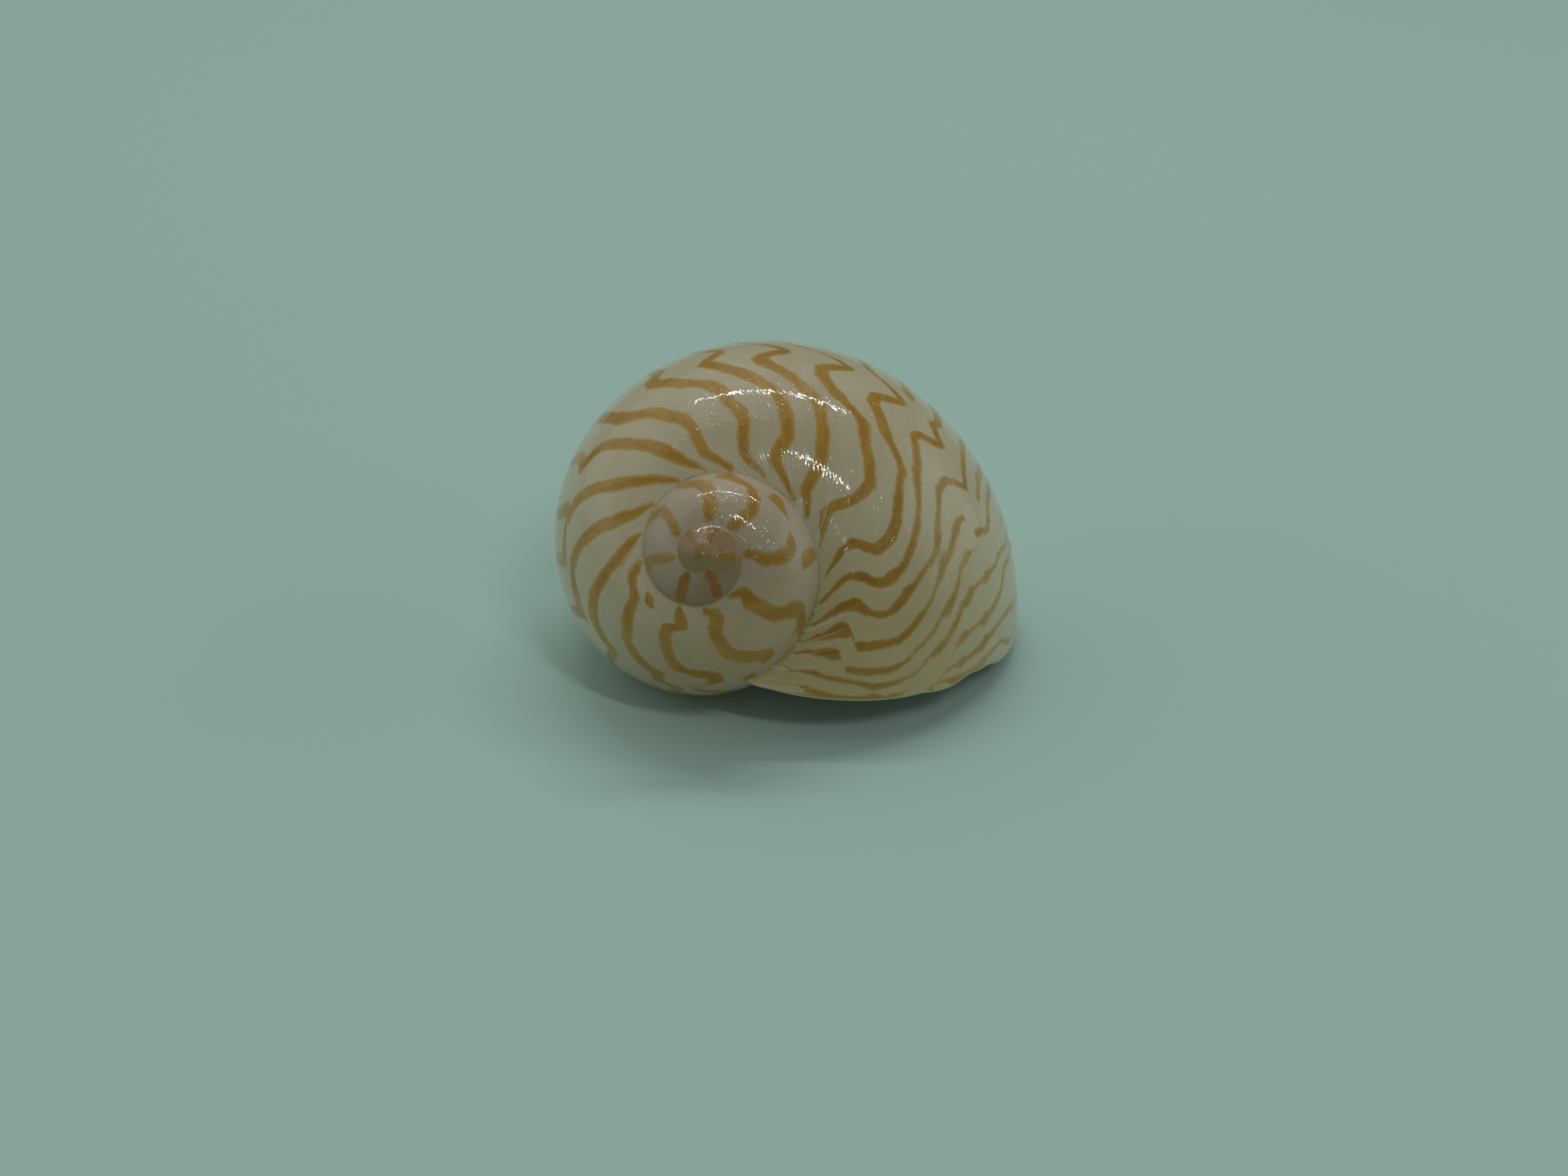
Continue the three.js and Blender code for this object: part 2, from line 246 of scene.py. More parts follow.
# The table of the lines: its angles and their step, the weights of the running mean that rounds the
# bends, the least turns from one line to the next, and the degrees over which a short line ends and
# half its width beyond, which is under nothing so that it doesn't show
TABLE_FROM = -62
TABLE_TO = 98
TABLE_STEP = 0.5
BEND_ROUNDING = [1, 2, 3, 2, 1]
LEAST_STEP = 0.006
SHORT_END_DEGREES = 1
SHORT_END_HALF = -0.6

# Between two lines, the share of the way over which half the width goes from one's to the other's; the
# steps that the steepness of the count is measured with, in turns and degrees, and the least of it in
# counts to the millimetre; and how far in counts the first and the last line reach
HANDOVER = (0.35, 0.65)
TURN_PROBE = 0.002
ANGLE_PROBE = 0.4
LEAST_STEEPNESS = 0.05
END_COUNT = 0.45

# A short way round the section, for measuring along its outline
HALF_DEGREE = 0.5

# What the corners of a facet carry where there are no lines
NO_LINES = {"long_count": 0.0, "long_gap": 1.0, "long_half": -1.0, "short_count": 0.0, "short_gap": 1.0,
            "short_half": -1.0, "angle": 0.0}

# Colours of the shell, linear: the ground and its tints, of which the low and the front tints are painted
# warm shade, what the mouth covers, the spire, and the seam and the painted highlights below the suture
GROUND = (0.67, 0.59, 0.395)
GROUND_ROSE = (0.53, 0.42, 0.31)
PAINTED_LOW_SHADE = (0.57, 0.425, 0.255)
PAINTED_FRONT_SHADE = (0.64, 0.51, 0.26)
BASE_WHITE = (0.72, 0.68, 0.55)
GLAZE = (0.55, 0.52, 0.42)
FIRST_WHORL = (0.36, 0.235, 0.13)
NUCLEUS = (0.35, 0.225, 0.075)
SEAM = (0.30, 0.17, 0.06)
PAINTED_GLINT_WHITE = (0.86, 0.84, 0.76)

# Where each tint sets in, from none to full: turns, or degrees round the section. The rose has a share
# by turn, by angle and in the cloud, which is a bell along the coil. The first whorl's edge slants by so
# many turns for each degree.
SPIRE_ROSE_TURNS = (-0.6, -1.15)
TOP_ROSE_ANGLES = (50, 80)
CLOUD_TURN = -0.28
CLOUD_SPREAD_TURNS = 0.09
CLOUD_LOW_ANGLES = (40, 56)
CLOUD_HIGH_ANGLES = (94, 82)
ROSE_SHARES = (0.9, 0.1, 0.45)
# The low and the front tints are painted shade: a darker, warmer ground where the lower front of the whorls
# gets less light
LOW_SHADE_START_TURNS = (-1.12, -0.97)
LOW_SHADE_END_TURNS = (-0.66, -0.8)
LOW_ANGLES = (94, 70)
FRONT_SHADE_TURNS = (-0.16, 0.03)
FRONT_SHADE_ANGLES = (10, 60)
FIRST_WHORL_TURNS = (-1.3, -1.75)
FIRST_WHORL_SLANT = 0.003
NUCLEUS_TURNS = (-2.45, -2.65)
BASE_ANGLES = (-38, -60)

# Where the next whorl's glaze covers the outside, an edge that slants too, and how much it takes off
# half the width of the lines
COVER_TURNS = (-0.855, -0.89)
COVER_SLANT = 0.0006
COVER_ANGLES = (21, 18)
COVER_NARROWS = 0.9

# Colours of the inside and of the lip's edge, the waving orange bands on the inside in radians to the
# millimetre, and the rings behind the lip over which the bands and the inside's colour set in
INSIDE = (0.66, 0.57, 0.31)
INSIDE_ORANGE = (0.62, 0.42, 0.17)
LIP_EDGE = (0.66, 0.58, 0.36)
ORANGE_PITCH = 2.1
ORANGE_WAVE = 1.3
ORANGE_WAVE_PITCH = 0.45
ORANGE_SHARE = 0.34
ORANGE_RINGS = (0, 12)
INSIDE_RINGS = (0, 10)

# Colour of the lines along the coil, by turn: ochre on the spire, red brown on its first whorl,
# golden brown on the body, darker near the lip. The middle of a line is multiplied by LINE_CORE in
# patches, and the lines hide LINE_COVER of the ground.
LINE_INKS = [(-2.3, (0.34, 0.20, 0.06)), (-2.02, (0.40, 0.25, 0.06)), (-1.95, (0.40, 0.15, 0.0)),
             (-1.72, (0.40, 0.15, 0.0)), (-1.65, (0.46, 0.31, 0.10)), (-1.2, (0.50, 0.31, 0.08)),
             (-1.0, (0.50, 0.28, 0.03)), (-0.8, (0.49, 0.27, 0.02)), (-0.6, (0.57, 0.34, 0.06)),
             (-0.2, (0.55, 0.32, 0.05)), (-0.1, (0.47, 0.26, 0.03))]
LINE_CORE = (0.80, 0.67, 0.30)
LINE_COVER = 0.94

# Inks of the lines low by the lip, and of their thick ends below the suture near it: colour, the turns
# and the angles that it sets in between, and its share
LIP_INKS = [((0.55, 0.38, 0.10), (-0.2, -0.08), (74, 60), 0.8),
            ((0.45, 0.23, 0.01), (-0.16, -0.06), (80, 87), 0.7)]

# The weave, two lengths in millimetres that the patterns lie on: along the coil, from the apex to the
# mouth's reference, and round the section, where a degree is this share of the first. On the inside
# and on the lip's edge each column or row is a step.
COIL_LENGTH = 92
DEGREE_SHARE = 0.0024
INSIDE_WEAVE_START = 20
INSIDE_WEAVE_STEP = 0.66
LIP_WEAVE_STEPS = (0.1, 0.5)

# Grain of the patterns, as cells to a millimetre along the coil and round the section, or, where it is
# one number, to a metre every way
SHADE_GRAIN = (0.9, 0.35, 1.0)
BAND_GRAIN = (0.8, 0.06, 1.0)
# grain of the painted highlights on the wrinkles below the suture
GLINT_GRAIN = (2.2, 0.08, 1.0)
STRIAE_GRAIN = (5.0, 3.4, 1.0)
WAVE_GRAIN = (3.0, 2.0, 1.0)
WRINKLE_GRAIN = (2.4, 0.15, 1.0)
RAGGED_GRAIN = 1500.0
SWELL_GRAIN = 420.0
CLOUD_GRAIN = 200.0

# The lines' edges: millimetres that they sway finely and broadly, over which they fade, and over which
# the darker middle sets in
RAGGED_EDGE = 0.05
SWELL_EDGE = 0.06
LINE_SOFTNESS = (-0.09, 0.10)
CORE_SOFTNESS = (0.02, 0.26)

# Colours that the clouds and the bands multiply the ground by, and the most that they are laid on
CLOUD_SHADE = (0.88, 0.86, 0.84)
BAND_SHADE = (0.88, 0.85, 0.80)
SHADE_MOST = 0.4

# By the suture: the angles between which the seam, the painted highlights on the wrinkles and the
# wrinkles set in, how much of the ragged sway the seam's edge has, and the most of the others; the painted
# highlights are fainter on the spire, by the length along the coil
SEAM_ANGLES = (96.6, 97.6)
SEAM_RAGGED = 8.0
GLINT_ANGLES = (84.0, 93.0)
GLINT_MOST = 0.33
GLINT_LENGTHS = (30.0, 52.0)
GLINT_LEAST_SHARE = 0.15
WRINKLE_ANGLES = (82.0, 93.0)
WRINKLE_MOST = 3.5

# Share of the broader waves in the relief, its depth in metres, its strength on the shell and on the
# gloss, and the shell's finish
WAVE_SHARE = 0.7
RELIEF_DEPTH = 0.00005
RELIEF_STRENGTHS = {"Normal": 0.06, "Coat Normal": 0.3}
GLOSS = {"Roughness": 0.4, "Specular IOR Level": 0.05, "Coat Weight": 1.0, "Coat Roughness": 0.045,
         "Coat IOR": 1.5, "Subsurface Weight": 0.1, "Subsurface Scale": 0.0008,
         "Subsurface Radius": (1.0, 0.6, 0.35)}

# The floor and the even light from all round, in metres and linear colours
FLOOR_REACH = 3.0
FLOOR_COLOUR = (0.51, 0.72, 0.66)
FLOOR_ROUGHNESS = 0.8
ROOM_COLOUR = (1.0, 0.91, 0.77)
ROOM_STRENGTH = 0.092

# Flat lights, all facing a point a little above the floor: name, direction from there, the way the
# long side lies, metres away, the two sides in metres, watts, and colour
LIGHTS_FACE = (0.0, 0.0, 0.01)
LIGHTS = [
    ("overhead", (-0.5, 0.4, 0.77), (1.0, 0.0, 0.0), 1.0, (2.2, 1.2), 3.1, (0.87, 1.0, 1.0)),
    ("left", (-0.93, -0.25, 0.28), (0.0, 1.0, 0.0), 1.0, (0.9, 0.5), 0.5, (0.95, 1.0, 0.97)),
    ("side", (0.95, 0.1, 0.3), (0.0, 1.0, 0.0), 1.0, (0.9, 0.6), 1.0, (0.85, 1.0, 1.0)),
    ("window", (0.325, -0.45, 0.83), (0.8, -0.26, -0.55), 0.6, (0.2, 0.02), 0.36, (0.94, 1.0, 0.98)),
    ("strip", (0.07, 0.43, 0.9), (1.0, 0.0, 0.0), 0.6, (0.55, 0.014), 0.8, (0.94, 1.0, 0.98)),
    ("front", (0.19, -0.82, 0.54), (0.8, 0.2, 0.3), 0.6, (0.06, 0.02), 0.05, (0.94, 1.0, 0.98)),
]

# The camera: its place from the shell's apex, its right, up and forward directions, and its sensor and
# lens, all but the directions in millimetres, and the nearest that it sees, in metres
CAMERA_FROM_APEX = (3.20, -79.01, 48.99)
CAMERA_RIGHT = (0.99928, 0.00006, 0.03801)
CAMERA_UP = (-0.03193, 0.54371, 0.83866)
CAMERA_FORWARD = (0.02062, 0.83927, -0.54332)
SENSOR_WIDTH = 36.0
LENS = 36.57
NEAREST_SEEN = 0.001


def section_point(angle):
    """Outline of the whorl's section at the mouth, at an angle in degrees: a circle with a few smooth
    lobes, whose distance from the axis is kept outside the umbilicus cone by a rounded maximum."""
    a = np.radians(angle)
    lobes = (SECTION_OVAL * np.cos(2 * a) + SECTION_LEAN * np.sin(2 * a) + SECTION_SHOULDER * np.cos(3 * a)
             + SECTION_BASE * np.sin(3 * a) + SECTION_WAIST * np.sin(4 * a))
    radius = SECTION_RADIUS * (1 + lobes)
    x = AXIS_TO_CENTRE + radius * np.cos(a)
    y = radius * np.sin(a) - APEX_TO_CENTRE
    cone = UMBILICUS_SLOPE * np.abs(y)
    return 0.5 * (x + cone + np.hypot(x - cone, UMBILICUS_ROUNDING)), y


def inner_point(angle, wall):
    """The section moved inward by the wall, square to its own outline."""
    x, y = section_point(angle)
    ahead_x, ahead_y = section_point(angle + HALF_DEGREE)
    behind_x, behind_y = section_point(angle - HALF_DEGREE)
    along_x, along_y = ahead_x - behind_x, ahead_y - behind_y
    length = np.hypot(along_x, along_y)
    return x - wall * along_y / length, y + wall * along_x / length


def on_spiral(x, y, turn):
    """Place of a section point at a turn: it grows by a fixed factor and goes once round, clockwise
    seen from the apex, for each turn."""
    size = TURN_GROWTH ** turn
    azimuth = -2 * np.pi * turn
    return np.stack([size * x * np.cos(azimuth), size * x * np.sin(azimuth), size * y], -1)


def mouth_normal():
    """Unit vector square to the plane of the mouth, from its angle about the axis and its dip."""
    down, about = np.radians(MOUTH_FACES_DOWN), np.radians(MOUTH_FACES_ANGLE)
    return np.array([np.cos(down) * np.cos(about), np.cos(down) * np.sin(about), -np.sin(down)])


def lip_turn(x, y, angle):
    """Turn at which a section point passes through the plane of the mouth, found by halving, and moved
    by the lip's waves at its angle."""
    before = np.full_like(x, EARLIEST_LIP_TURN)
    after = np.full_like(x, LATEST_LIP_TURN)
    for _ in range(LIP_HALVINGS):
        middle = (before + after) / 2
        short = on_spiral(x, y, middle) @ mouth_normal() < MOUTH_DISTANCE
        before = np.where(short, middle, before)
        after = np.where(short, after, middle)
    waves = sum(depth * np.exp(-((angle - at) / spread) ** 2) for at, spread, depth in LIP_WAVES)
    return (before + after) / 2 + waves


def column_angles():
    """Angles of the columns: evenly spread between each two places on the section."""
    spans = [np.linspace(a, b, n, endpoint=False) for a, b, n in zip(PLACES, PLACES[1:], COLUMNS)]
    return np.concatenate(spans + [PLACES[-1:]])


def ease(low, high, value):
    """Smooth step from 0 at low to 1 at high."""
    share = np.clip((value - low) / (high - low), 0, 1)
    return share * share * (3 - 2 * share)


def window(bounds, turn, angle):
    """Product of three smooth steps: in turns, from the low angles and from the high ones."""
    turns, low_angles, high_angles = bounds
    return ease(*turns, turn) * ease(*low_angles, angle) * ease(*high_angles, angle)


def line_turns(lists, grid):
    """The turn that each list of bends passes at for each angle of the grid. Bends are joined by
    straight stretches, rounded by a running mean and kept in order. A line whose list goes down to the
    whorl's face runs on in the zigzag."""
    zigzag = np.array(sorted(FACE_ZIGZAG), float).T
    turns = np.stack([np.interp(grid, *bends) for bends in lists])
    for row, (angles, passes) in enumerate(lists):
        if angles[0] < FACE_FROM:
            sway = np.interp(grid, *zigzag) - np.interp(angles[0], *zigzag)
            turns[row] += np.where(grid < angles[0], sway * np.interp(passes[0], *ZIGZAG_SHARES), 0)
    kernel = np.array(BEND_ROUNDING) / sum(BEND_ROUNDING)
    reach = len(BEND_ROUNDING) // 2
    padded = np.pad(turns / 1000, ((0, 0), (reach, reach)), mode="edge")
    turns = np.stack([np.convolve(row, kernel, "valid") for row in padded])
    for row in range(1, len(lists)):
        turns[row] = np.maximum(turns[row], turns[row - 1] + LEAST_STEP)
    return turns


def line_tables(kind):
    """For each line of a kind and each half degree round the section: the turn it passes at, and half
    its width, which is a width along the coil times a share round the section, narrowed and beaded near
    the lip, with its own touches added. A short line has no width past its ends."""
    grid = np.arange(TABLE_FROM, TABLE_TO + TABLE_STEP, TABLE_STEP)
    numbers = [number for number, (this_kind, _) in enumerate(LINES) if this_kind is kind]
    lists = [np.array(sorted(LINES[number][1]), float).T for number in numbers]
    turns = line_turns(lists, grid)
    halves = np.interp(turns, *np.array(LINE_HALF_WIDTHS).T)
    halves *= np.interp(grid, *np.array(LINE_WIDTH_SHARES).T)
    halves *= 1 - BEAD_GAP_SHARE * window(NARROWING, turns, grid)
    shift = BEAD_SHIFT * np.sin(BEAD_SHIFT_STEP * np.arange(len(lists)))[:, None]
    phase = 2 * np.pi * (grid - BEAD_AT) / BEAD_DEGREES + shift
    swing = np.maximum(np.cos(phase) - BEAD_CUT, 0) / (1 - BEAD_CUT)
    halves += window(BEADING, turns, grid) * BEAD_SWING * swing
    for row, (number, (angles, _)) in enumerate(zip(numbers, lists)):
        for angle, spread, change in LINE_TOUCHES.get(number, []):
            halves[row] += change * np.exp(-((grid - angle) / spread) ** 2)
        if kind is SHORT:
            low, high = angles[0], angles[-1]
            shown = ease(high + SHORT_END_DEGREES, high - SHORT_END_DEGREES, grid)
            if low >= FACE_FROM:
                shown = shown * ease(low - SHORT_END_DEGREES, low + SHORT_END_DEGREES, grid)
            halves[row] = halves[row] * shown + SHORT_END_HALF * (1 - shown)
    return grid, turns, halves


def line_count(turn, angle, tables):
    """Count of the lines passed up to a point, whole on each line, and half the width there. Between
    two lines it is a cubic whose slope at each line is the harmonic mean of the slopes on its two
    sides, so that the count runs smoothly through every line."""
    grid, turns, halves = tables
    place = np.clip((angle - TABLE_FROM) / TABLE_STEP, 0, len(grid) - 1.001)
    low = place.astype(int)
    share = (place - low)[..., None]
    passes = turns.T[low] * (1 - share) + turns.T[low + 1] * share
    last = len(turns) - 1
    behind = np.clip((turn[..., None] > passes).sum(-1) - 1, 0, last - 1)

    def at(number):
        """Turn that the line of a number passes at."""
        return np.take_along_axis(passes, np.clip(number, 0, last)[..., None], -1)[..., 0]

    step = at(behind + 1) - at(behind)
    before = np.where(behind > 0, at(behind) - at(behind - 1), step)
    after = np.where(behind < last - 1, at(behind + 2) - at(behind + 1), step)
    steps = (turn - at(behind)) / step
    way = np.clip(steps, 0, 1)
    count = behind + (3 - 2 * way) * way ** 2 + steps - way
    count += 2 * step * (way * (1 - way) ** 2 / (before + step) - way ** 2 * (1 - way) / (step + after))
    share = share[..., 0]
    width = halves[:, low] * (1 - share) + halves[:, low + 1] * share
    one, other = (np.take_along_axis(width, (behind + n)[None], 0)[0] for n in (0, 1))
    turned = ease(*HANDOVER, way)
    return count, one * (1 - turned) + other * turned


def line_marks(turn, angle, kind):
    """Where each point lies among the lines of a kind: the count of them, the millimetres on the
    surface for one whole count, which is one over its steepness, and half the width of a line. The
    steepness is the change of the count over a small step along the coil and one round the section."""
    tables = line_tables(kind)
    count, half = line_count(turn, angle, tables)
    x, y = section_point(angle)
    ahead_x, ahead_y = section_point(angle + HALF_DEGREE)
    size = TURN_GROWTH ** turn
    round_turn = size * np.hypot(2 * np.pi * x, np.log(TURN_GROWTH) * np.hypot(x, y))
    round_degree = size * np.hypot(ahead_x - x, ahead_y - y) / HALF_DEGREE
    after, before = (line_count(turn + step, angle, tables)[0] for step in (TURN_PROBE, -TURN_PROBE))
    above, below = (line_count(turn, angle + step, tables)[0] for step in (ANGLE_PROBE, -ANGLE_PROBE))
    along = (after - before) / (2 * TURN_PROBE) / round_turn
    across = (above - below) / (2 * ANGLE_PROBE) / round_degree
    gap = 1 / np.maximum(np.hypot(along, across), LEAST_STEEPNESS)
    last = len(tables[1]) - 1
    half = np.where((count < -END_COUNT) | (count > last + END_COUNT), -1.0, half)
    return {kind + "_count": count, kind + "_gap": gap, kind + "_half": half}


def mix(first, second, share):
    """Straight blend of two colours by a share for each point."""
    return np.asarray(first) * (1 - share[..., None]) + np.asarray(second) * share[..., None]


def outside_colour(turn, angle):
    """Ground of the outside: cream, rosier toward the spire, the top and in a cloud on the body,
    with painted warm shade, darker and yellower, by the lip and low on the whorl before, mauve brown on
    the first whorl, tan on the nucleus, white on the base."""
    cloud = np.exp(-((turn - CLOUD_TURN) / CLOUD_SPREAD_TURNS) ** 2)
    cloud *= ease(*CLOUD_LOW_ANGLES, angle) * ease(*CLOUD_HIGH_ANGLES, angle)
    by_turn, by_angle, in_cloud = ROSE_SHARES
    rose = by_turn * ease(*SPIRE_ROSE_TURNS, turn) + by_angle * ease(*TOP_ROSE_ANGLES, angle)
    # painted warm shade low on the whorl before
    low = ease(*LOW_SHADE_START_TURNS, turn) * ease(*LOW_SHADE_END_TURNS, turn) * ease(*LOW_ANGLES, angle)
    colour = mix(GROUND, GROUND_ROSE, rose + in_cloud * cloud)
    colour = mix(colour, PAINTED_LOW_SHADE, low)
    # painted warm shade on the body by the lip
    colour = mix(colour, PAINTED_FRONT_SHADE, ease(*FRONT_SHADE_TURNS, turn) * ease(*FRONT_SHADE_ANGLES, angle))
    colour = mix(colour, FIRST_WHORL, ease(*FIRST_WHORL_TURNS, turn + FIRST_WHORL_SLANT * angle))
    colour = mix(colour, NUCLEUS, ease(*NUCLEUS_TURNS, turn))
    return mix(colour, BASE_WHITE, ease(*BASE_ANGLES, angle))


class Skin:
    """Collects patches of facets with the values that each facet's corners carry."""

    def __init__(self):
        self.places, self.faces, self.corners = [], [], {}
        self.total = 0

    def vertices(self, places):
        """Adds a row or grid of places, and gives back their numbers in the same row or grid."""
        numbers = self.total + np.arange(places[..., 0].size).reshape(places.shape[:-1])
        self.places.append(places.reshape(-1, 3))
        self.total += numbers.size
        return numbers

    def patch(self, numbers, flip=False, **values):
        """Facets between neighbours of a grid of vertices, four corners each; flip turns them over."""
        def around(grid):
            corners = [grid[:-1, :-1], grid[1:, :-1], grid[1:, 1:], grid[:-1, 1:]]
            if flip:
                corners = corners[::-1]
            return np.stack(corners, 2).reshape((-1, 4) + grid.shape[2:])
        self.faces.append(around(numbers))
        for name, grid in values.items():
            self.corners.setdefault(name, []).append(around(grid))

    def fan(self, hub, row, flip=False, **values):
        """Triangles from one vertex to each two neighbours in a row, with one value each for all of
        their corners; flip turns them over."""
        first, second = (row[1:], row[:-1]) if flip else (row[:-1], row[1:])
        faces = np.column_stack([np.full(len(first), hub), first, second])
        self.faces.append(faces)
        for name, value in values.items():
            shape = faces.shape + np.shape(value)
            self.corners.setdefault(name, []).append(np.broadcast_to(value, shape))


def ring_turn(ring):
    """Turn that a ring of facets lies at, counted back from the mouth in equal steps."""
    return (ring - LAST_RING) / TURN_RINGS - LIP_SETBACK_TURNS


def outer_values(rings, columns, angles, lags):
    """Values at the corners of the outside for a range of rings and columns: where they lie among the
    lines, the colours of ground and ink, the place on the weave and the angle."""
    ring, column = np.meshgrid(rings, columns, indexing="ij")
    angle = angles[column]
    turn = ring_turn(ring) + lags[column]
    covered = ease(*COVER_TURNS, turn - COVER_SLANT * angle) * ease(*COVER_ANGLES, angle)
    values = {**line_marks(turn, angle, LONG), **line_marks(turn, angle, SHORT)}
    for kind in (LONG, SHORT):
        values[kind + "_half"] = values[kind + "_half"] - covered * COVER_NARROWS
    length = COIL_LENGTH * TURN_GROWTH ** ring_turn(ring)
    weave = np.stack([length, angle * DEGREE_SHARE * length], -1)
    colour = mix(outside_colour(turn, angle), GLAZE, covered)
    turns, inks = zip(*LINE_INKS)
    ink = np.stack([np.interp(turn, turns, shade) for shade in zip(*inks)], -1)
    for lip_ink, lip_turns, lip_angles, share in LIP_INKS:
        ink = mix(ink, lip_ink, ease(*lip_turns, turn) * ease(*lip_angles, angle) * share)
    return {**values, "ground": colour, "ink": ink, "weave": weave, "angle": angle}


def plain_values(colour, weave):
    """Values for facets with no lines, from their colour and place on the weave."""
    values = {name: np.full(weave.shape[:-1], value) for name, value in NO_LINES.items()}
    return {**values, "ground": colour, "ink": colour, "weave": weave}


def inside_values(rings, columns):
    """Values at the corners of the hollow's skin: cream yellow with orange bands, a cubed sine along
    the coil that waves by another sine round the section, and the lip's colour at the mouth."""
    ring, column = np.meshgrid(rings, columns, indexing="ij")
    length = COIL_LENGTH * TURN_GROWTH ** ring_turn(ring)
    around = INSIDE_WEAVE_START - INSIDE_WEAVE_STEP * column
    wave = ORANGE_WAVE * np.sin(ORANGE_WAVE_PITCH * around)
    bands = 0.5 + 0.5 * np.sin(ORANGE_PITCH * length + wave)
    colour = mix(INSIDE, INSIDE_ORANGE, bands ** 3 * ORANGE_SHARE * ease(*ORANGE_RINGS, LAST_RING - ring))
    colour = mix(LIP_EDGE, colour, ease(*INSIDE_RINGS, LAST_RING - ring))
    return plain_values(colour, np.stack([length, around], -1))


def flatten_spire(places, rings):
    """Draws the open part of the first whorls toward the straight line between its two seams, more
    for the older rings, so that the whorls round the nucleus are nearly flush."""
    shown = places[:, :COVERED_FROM + 1]
    start, end = shown[:, -1:], shown[:, :1]
    across = (shown - start) * (end - start)
    share = across.sum(-1, keepdims=True) / ((end - start) ** 2).sum(-1, keepdims=True)
    flat = FLATTENING * ease(*FLATTENED_TURNS, ring_turn(rings))[:, None, None]
    places[:, :COVERED_FROM + 1] += flat * (start + (end - start) * share - shown)


def outer_vertices(skin, angles, lags):
    """Vertices of the outside, ring by ring. A ring is the section laid in the plane of the mouth; each
    next ring is it a little further along the spiral. Once there is a whorl before, the first and last
    columns are vertices of it."""
    x, y = section_point(angles)
    rings = np.arange(LAST_RING + 1)
    places = on_spiral(x, y, ring_turn(rings)[:, None] + lags)
    flatten_spire(places, rings)
    outer = skin.vertices(places)
    outer[FREE_SUTURE_RINGS:, 0] = outer[:-FREE_SUTURE_RINGS, COVERED_FROM]
    outer[FREE_UMBILICUS_RINGS:, LAST_COLUMN] = outer[:-FREE_UMBILICUS_RINGS, COVERED_TO]
    return outer


def inner_vertices(skin, outer, angles, rings):
    """Vertices of the hollow's skin: the section moved inward by the wall, which thins toward the lip.
    Its first and last columns are vertices of the whorl before."""
    share = (angles[1] - angles[1:-1]) / (angles[1] - angles[-2])
    inner_angles = INNER_START_ANGLE + (INNER_END_ANGLE - INNER_START_ANGLE) * share
    turns = ring_turn(rings)[:, None]
    wall = np.interp(-turns, [0, LIP_TAPER_TURNS], [LIP_WALL, WALL])
    x, y = inner_point(inner_angles[None, :], wall)
    middle = skin.vertices(on_spiral(x, y, turns + lip_turn(x, y, inner_angles)))
    first = outer[rings - FREE_SUTURE_RINGS, HOLLOW_FROM]
    last = outer[rings - FREE_UMBILICUS_RINGS, HOLLOW_TO]
    return np.column_stack([first, middle, last])


def shell_skin():
    """The whole wall as one skin: the outside in patches, without the stretch that the next whorl
    covers; what shows of it inside the hollow; the hollow's skin with a fan of triangles at its deep
    end; the lip's edge; and fans that close the tip."""
    skin = Skin()
    angles = column_angles()
    lags = lip_turn(*section_point(angles), angles)
    lags[0] = lags[COVERED_FROM] + SUTURE_LEAD / TURN_RINGS
    lags[LAST_COLUMN] = lags[COVERED_TO] + UMBILICUS_LEAD / TURN_RINGS
    outer = outer_vertices(skin, angles, lags)
    hollow = np.arange(LAST_RING - HOLLOW_RINGS, LAST_RING + 1)
    inner = inner_vertices(skin, outer, angles, hollow)

    def outside(first_ring, first_column, last_column):
        """Patch of the outside from a ring to the mouth, between two columns."""
        columns = np.arange(first_column, last_column + 1)
        values = outer_values(np.arange(first_ring, LAST_RING + 1), columns, angles, lags)
        skin.patch(outer[first_ring:, first_column:last_column + 1], **values)

    suture_ring = LAST_RING - FREE_SUTURE_RINGS
    umbilicus_ring = LAST_RING - FREE_UMBILICUS_RINGS
    outside(0, 0, COVERED_FROM)
    outside(suture_ring, COVERED_FROM, HOLLOW_FROM)
    outside(umbilicus_ring, HOLLOW_TO, COVERED_TO)
    outside(0, COVERED_TO, LAST_COLUMN)

    deep = {**NO_LINES, "ground": GLAZE, "ink": GLAZE, "weave": (0.0, 0.0)}
    columns = np.arange(HOLLOW_FROM, HOLLOW_TO + 1)
    leads = np.linspace(SUTURE_LEAD, UMBILICUS_LEAD, len(columns)).round().astype(int)
    starts = hollow[0] - TURN_RINGS + leads
    for column, start, following in zip(columns, starts, starts[1:]):
        skin.fan(outer[following, column + 1], outer[start:following + 1, column], **deep)
        outside(following, column, column + 1)
    skin.patch(inner, flip=True, **inside_values(hollow, np.arange(LAST_COLUMN + 1)))

    edge = np.concatenate([inner[0], outer[starts[-2:0:-1], columns[-2:0:-1]], inner[0, :1]])
    centre = np.array([AXIS_TO_CENTRE]), np.array([-APEX_TO_CENTRE])
    hub = skin.vertices(on_spiral(*centre, ring_turn(hollow[0]) + lip_turn(*centre, 0.0)))[0]
    skin.fan(hub, edge, flip=True, **deep)

    lip_face(skin, outer, inner, outer[suture_ring, COVERED_FROM:HOLLOW_FROM + 1],
             outer[umbilicus_ring, HOLLOW_TO:COVERED_TO + 1][::-1])

    heights = TURN_GROWTH ** ring_turn(0) * section_point(angles)[1]
    top, bottom = skin.vertices(np.array([[0, 0, heights[0]], [0, 0, heights[COVERED_TO]]]))
    tip = {**NO_LINES, "ground": NUCLEUS, "ink": NUCLEUS, "weave": (0.0, 0.0)}
    skin.fan(top, outer[:FREE_SUTURE_RINGS + 1, 0], flip=True, **tip)
    skin.fan(top, outer[0, :COVERED_FROM + 1], **tip)
    skin.fan(bottom, outer[:FREE_UMBILICUS_RINGS + 1, LAST_COLUMN], **tip)
    skin.fan(bottom, outer[0, COVERED_TO:], **tip)
    return skin


